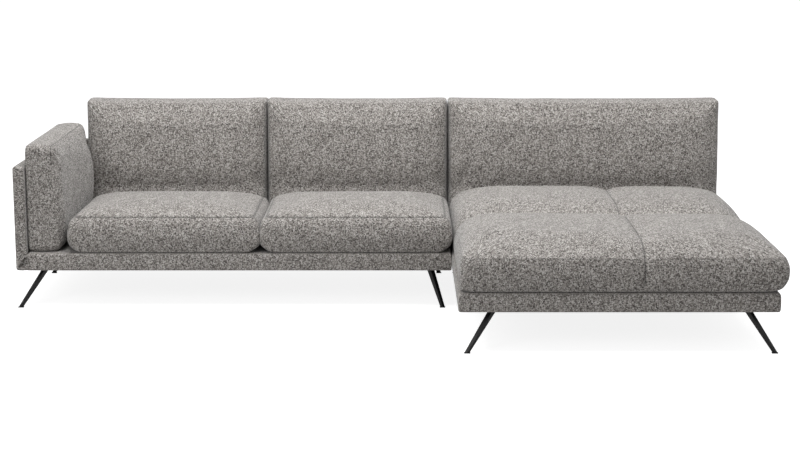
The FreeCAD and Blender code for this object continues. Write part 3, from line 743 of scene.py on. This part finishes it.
def behind_band(points):
    """The arm's front corner under the mitre: below the diagonal from the outer bottom corner up to the
    band's top, the face steps back 2.5 mm over 5 mm, where the band's cloth lies over it."""
    p = points.copy()
    across = p[:, 2] / arm_thickness
    height = (p[:, 1] - band_low) / (band_high - band_low)
    below = np.clip((across - height) * 0.046 / (5 * MM) + 0.3, 0, 1)
    front = np.clip((arm_front + 12 * MM - p[:, 0]) / (10 * MM), 0, 1)
    p[:, 0] += 2.5 * MM * below * front
    return p


arm_lo, arm_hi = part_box("arm_cover")
band_low = arm_lo.z
band_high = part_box("sofa_base_cover")[1].z
arm_thickness = arm_hi.x - arm_lo.x
arm_front = arm_lo.y
arm_panel = wrapped_panel("arm_panel", (arm_lo.y, arm_lo.z), (arm_hi.y, arm_hi.z), arm_thickness,
                          lambda p: facing_right(p) + (arm_lo.x, 0, 0), step=12 * MM, shape=behind_band)
finish_cover(arm_panel, "two_seat_section", "upholstery", "arm_cover")
for section, body in sections:
    lo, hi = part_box(section + "_back_cover")
    slab = wrapped_panel(section + "_back_panel", (lo.x, lo.z), (hi.x, hi.z), hi.y - lo.y,
                         lambda p, y=hi.y: facing_front(p) + (0, y, 0))
    finish_cover(slab, body, "upholstery", section + "_back_cover")

# %% [markdown]
# The band round the base is one strip of cloth. It is pulled over the edge of the rails from below,
# where it is stapled, and ends on top as a border on the deck. Its section is carried round the plan.

# %% Band round each base
def band_section(low_z, high_z, wall, border, turn_under, radius):
    """Closed section (inset, z) of the strip: from the stapled edge below, out round the lower edge,
    up the outside with a 1.2 mm puff, round the upper edge and in to the border's end, then back inside."""
    angles = np.linspace(0, math.pi / 2, 5)
    lower = np.column_stack([radius * (1 - np.sin(angles)), low_z + radius * (1 - np.cos(angles))])
    share = np.linspace(0, 1, 8)[1:-1]
    below_top = 11 * MM
    outside = np.column_stack([-1.2 * MM * np.sin(math.pi * share),
                               low_z + radius + (high_z - low_z - radius - below_top) * share])
    crest = 14 * MM
    upper = np.column_stack([crest * (1 - np.sin(angles)), high_z - crest * (1 - np.cos(angles))])[::-1]
    far = np.linspace(crest, border, 7)[1:]
    top = np.column_stack([far, np.full(6, high_z)])
    back = np.array([(border, high_z - 1.1 * MM), (border * 0.5, high_z - 1.1 * MM),
                     (wall + 9 * MM, high_z - 1.3 * MM), (wall, high_z - 20 * MM), (wall, low_z + 20 * MM),
                     (wall, low_z + 2.2 * MM), (turn_under * 0.5, low_z + 2.2 * MM),
                     (turn_under, low_z + 2.2 * MM)])
    under = np.array([(turn_under, low_z), (turn_under * 0.5, low_z), (wall * 2, low_z)])
    return np.concatenate([lower, outside, upper, top, back, under])


def base_band(name, lo, hi, corner, shape=None):
    """The section carried round the rectangle lo to hi, with the same number of points in each row."""
    low, high = np.array([lo.x, lo.y]), np.array([hi.x, hi.y])
    section = band_section(lo.z, hi.z, 5.6 * MM, 105 * MM, 40 * MM, 6.5 * MM)
    us = side_places(low[0], high[0], 20 * MM, corner)
    vs = side_places(low[1], high[1], 20 * MM, corner)
    middle = (low + high) / 2
    rows = []
    for inset, z in np.concatenate([section, section[:1]]):
        loop = loop_round(pull_in(us, inset, middle[0]), pull_in(vs, inset, middle[1]))
        loop = round_corners(loop, low + inset, high - inset, max(corner - inset, 0.5 * MM))
        rows.append(np.column_stack([loop, np.full(len(loop), z)]))
    grid = np.stack(rows)
    around = np.concatenate([[0], np.cumsum(np.linalg.norm(np.diff(grid[0], axis=0), axis=1))])
    along = np.concatenate([[0], np.cumsum(np.linalg.norm(np.diff(section, axis=0), axis=1)), [0.5]])
    uv = np.stack(np.broadcast_arrays(around[None, :], along[:, None]), -1)
    if shape:
        grid = shape(grid)
    points, quads, uv, _ = sew([dict(points=grid, uv=uv)])
    obj = make_mesh(name, points, quads, uv)
    if shape:
        height = (points[:, 2] - band_low) / (band_high - band_low)
        diagonal = arm_hi.x - arm_thickness * (1 - height)
        edge = (points[:, 1] < arm_front + 3 * MM) & (points[:, 0] < diagonal + 4 * MM)
        mark_seams(obj, edge)
    return dress(obj)


def mitred_end(grid):
    """The band's front end beside the arm runs out to the arm's outer lower corner along the diagonal."""
    p = grid.copy()
    height = np.clip((p[..., 2] - band_low) / (band_high - band_low), 0, 1)
    front = np.clip((arm_front + 6 * MM - p[..., 1]) / (5 * MM), 0, 1)
    end = np.clip((arm_hi.x + 1 * MM - p[..., 0]) / (1 * MM), 0, 1)
    p[..., 0] -= (arm_thickness - 3.5 * MM) * (1 - height) * front * end
    return p


lo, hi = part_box("sofa_base_cover")
lo.x = arm_hi.x
sofa_band = base_band("sofa_base_band", lo, hi, 0.6 * MM, mitred_end)
finish_cover(sofa_band, "two_seat_section", "upholstery", "sofa_base_cover")
lo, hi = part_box("chaise_base_cover")
chaise_band = base_band("chaise_base_band", lo, hi, 12 * MM)
finish_cover(chaise_band, "chaise_section", "upholstery", "chaise_base_cover")

# %% [markdown]
# A felt sheet lies on the woven webbing under the cushions, and a thin black lining closes the base
# from below. Both are flat sheets with a thickness. The lining hangs a little between its staples.

# %% Deck felt and lining
def flat_sheet(name, lo, hi, thickness, sag, step, material):
    """A sheet over the box lo to hi: top and bottom grids joined at the edge, lowered by
    sag (1 - a^2)(1 - b^2), with a and b from -1 to 1 across it."""
    u = np.linspace(lo.x, hi.x, round((hi.x - lo.x) / step) + 1)
    v = np.linspace(lo.y, hi.y, round((hi.y - lo.y) / step) + 1)
    uu, vv = np.meshgrid(u, v)
    a = (uu - (lo.x + hi.x) / 2) / ((hi.x - lo.x) / 2)
    b = (vv - (lo.y + hi.y) / 2) / ((hi.y - lo.y) / 2)
    drop = sag * (1 - a ** 2) * (1 - b ** 2)
    upper = np.stack([uu, vv, lo.z + thickness - drop], -1)
    lower = np.stack([uu, vv, lo.z - drop], -1)
    flat = np.stack([uu, vv], -1)
    rim = np.stack([loop_round(u, v)] * 2)
    heights = np.stack([np.full(rim.shape[1], lo.z), np.full(rim.shape[1], lo.z + thickness)])
    edge = np.concatenate([rim, heights[..., None]], -1)
    points, quads, uv, _ = sew([dict(points=upper, uv=flat), dict(points=lower, uv=flat, flip=True),
                                dict(points=edge, uv=rim)])
    obj = make_mesh(name, points, quads, uv)
    obj.data.materials.append(material)
    return obj


for section, body in sections:
    lo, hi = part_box(section + "_deck_pad")
    felt = flat_sheet(section + "_deck_felt", lo, hi, hi.z - lo.z - 1.3 * MM, 0.0, 60 * MM, finishes["felt"])
    finish_cover(felt, body, "felt", section + "_deck_pad")
    lo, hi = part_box(section + "_dust_cover")
    lining = flat_sheet(section + "_lining", lo, hi, 0.5 * MM, 3 * MM, 60 * MM, finishes["dust_cloth"])
    finish_cover(lining, body, "dust_cloth", section + "_dust_cover")

# %% [markdown]
# Four pan-head screws hold each leg's plate. A head is a small turned form: a profile carried round
# its axis. They are dark like the plate, and only the underside views show them.

# %% Screws in the leg plates
def turned(profile, centre, sides=12):
    """Points of a profile (radius, drop) carried round a vertical axis: x = r cos t, y = r sin t."""
    t = np.linspace(0, 2 * math.pi, sides + 1)
    r, drop = profile[:, 0][:, None], profile[:, 1][:, None]
    x = centre[0] + r * np.cos(t)
    y = centre[1] + r * np.sin(t)
    return np.stack([x, y, np.broadcast_to(centre[2] - drop, x.shape)], -1)


screw_profile = np.array([(0.0, 0.0), (4.6, 0.0), (4.6, 0.7), (3.9, 1.7), (2.6, 2.3), (1.5, 2.4),
                          (1.3, 1.2), (0.0, 1.2)]) * MM
for section, body in sections:
    heads = []
    for number in range(1, 5):
        leg = np.array([v.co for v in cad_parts[section + "_leg_" + str(number)].data.vertices])
        plate = leg[leg[:, 2] > leg[:, 2].max() - 4.5 * MM]
        underside = plate[:, 2].min()
        plate_lo, plate_hi = plate[:, :2].min(0), plate[:, :2].max(0)
        for x in (plate_lo[0] + 12 * MM, plate_hi[0] - 12 * MM):
            for y in (plate_lo[1] + 12 * MM, plate_hi[1] - 12 * MM):
                heads.append(turned(screw_profile, (x, y, underside)))
    panels = [dict(points=head, uv=head[..., :2], flip=True) for head in heads]
    points, quads, uv, _ = sew(panels)
    screws = make_mesh(section + "_leg_screws", points, quads, uv)
    screws.data.materials.append(finishes["black_steel"])
    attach(screws, body)
    print(screws.name, len(heads), "heads at z", round(float(underside), 4))

# %% [markdown]
# A pale floor and soft light from large windows of light, as in a studio. The floor and the
# surroundings are almost white, so the sofa stands out with only a faint shadow under it.

# %% Floor, surroundings and lights
floor = make_mesh("studio_floor", np.array([[-30, -30, 0], [30, -30, 0], [30, 30, 0], [-30, 30, 0]], float),
                  np.array([[0, 1, 2, 3]]))
floor_material, floor_tree, floor_shader = new_material("painted_studio_floor", {"Roughness": 0.8})
floor_shader.inputs["Base Color"].default_value = linear("#b4b4b4")
floor_shader.inputs["Emission Color"].default_value = (1.0, 1.0, 1.0, 1.0)
seen = add_node(floor_tree, "ShaderNodeLightPath")
glow = add_node(floor_tree, "ShaderNodeMath", {"operation": "MULTIPLY"}, i0=seen.outputs["Is Camera Ray"])
glow.inputs[1].default_value = 0.86
floor_tree.links.new(glow.outputs["Value"], floor_shader.inputs["Emission Strength"])
floor.data.materials.append(floor_material)
surround_light = 0.45
world = bpy.data.worlds.new("studio")
scene.world = world
world.use_nodes = True
background = world.node_tree.nodes["Background"]
background.inputs["Color"].default_value = (1.0, 1.0, 1.0, 1.0)
straight = add_node(world.node_tree, "ShaderNodeLightPath")
strength = add_node(world.node_tree, "ShaderNodeMapRange", inputs={"To Min": surround_light, "To Max": 1.0},
                    Value=straight.outputs["Is Camera Ray"])
world.node_tree.links.new(strength.outputs["Result"], background.inputs["Strength"])
scene.view_settings.view_transform = "Standard"


def soft_light(name, place, aim, size, power):
    data = bpy.data.lights.new(name, "AREA")
    data.shape = "RECTANGLE"
    data.size, data.size_y = size
    data.energy = power
    light = bpy.data.objects.new(name, data)
    light.location = place
    direction = np.array(aim) - np.array(place)
    light.rotation_euler = (math.atan2(math.hypot(direction[0], direction[1]), -direction[2]), 0,
                            math.atan2(direction[1], direction[0]) - math.pi / 2)
    scene.collection.objects.link(light)


soft_light("overhead", (0.0, -0.3, 3.6), (0.0, 0.0, 0.3), (5.0, 3.0), 195)
soft_light("front_left", (-3.5, -5.0, 3.0), (0.0, 0.0, 0.4), (2.5, 2.0), 75)
